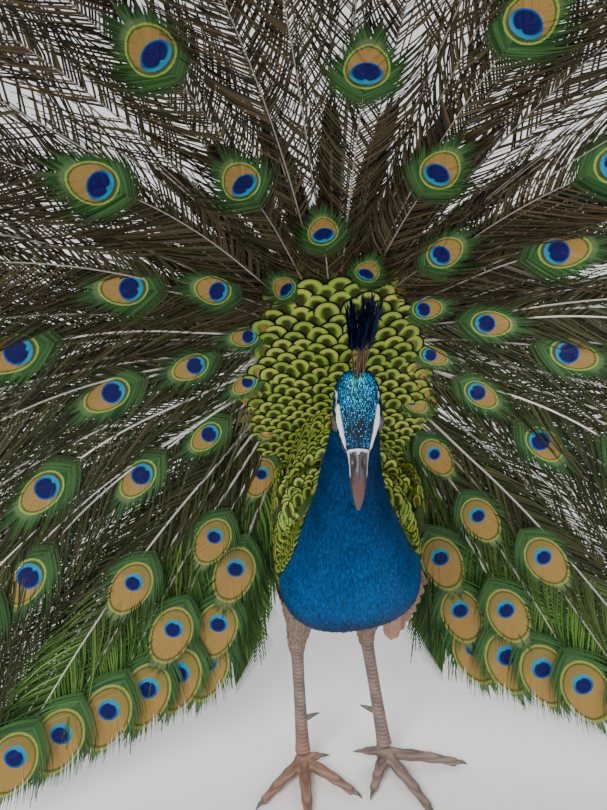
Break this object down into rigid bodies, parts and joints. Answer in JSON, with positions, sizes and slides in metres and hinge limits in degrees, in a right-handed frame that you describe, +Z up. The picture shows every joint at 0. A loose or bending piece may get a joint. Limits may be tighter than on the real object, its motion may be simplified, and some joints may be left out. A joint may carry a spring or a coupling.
{
  "type": "peacock",
  "caption": "Still life-size model of a male peafowl standing in display, train raised in a fan behind the head, body parted into named pieces.",
  "frame": {"origin": "on the floor under the middle of the bird's bounding box", "axes": "the bird looks along -Y, +X is across its train to its left, +Z up"},
  "size_m": [2.091, 0.7434, 1.5739],
  "materials": {
    "head": "satin",
    "neck": "satin",
    "breast": "satin",
    "trunk": "matt",
    "vent": "matt",
    "scales": "satin",
    "wing": "matt",
    "quills": "matt",
    "train": "satin",
    "tail": "matt",
    "leg": "matt",
    "thigh": "matt",
    "claw": "satin",
    "bill": "satin",
    "eye": "gloss",
    "crest": "matt"
  },
  "bodies": {
    "root": {"back_scales": "scales", "bill_lower": "bill", "bill_upper": "bill", "breast": "breast", "claw_left_hind": "claw", "claw_left_inner": "claw", "claw_left_middle": "claw", "claw_left_outer": "claw", "claw_right_hind": "claw", "claw_right_inner": "claw", "claw_right_middle": "claw", "claw_right_outer": "claw", "crest": "crest", "eye_left": "eye", "eye_right": "eye", "foot_left": "leg", "foot_right": "leg", "head": "head", "neck_lower": "neck", "neck_middle": "neck", "neck_upper": "neck", "quills_left": "quills", "quills_right": "quills", "rump": "scales", "shank_left": "leg", "shank_right": "leg", "spur_left": "claw", "spur_right": "claw", "tail_left": "tail", "tail_right": "tail", "thigh_left": "thigh", "thigh_right": "thigh", "train_left_1": "train", "train_left_2": "train", "train_left_3": "train", "train_left_4": "train", "train_right_1": "train", "train_right_2": "train", "train_right_3": "train", "train_right_4": "train", "trunk": "trunk", "vent": "vent", "wing_left": "wing", "wing_right": "wing"}
  },
  "joints": []
}
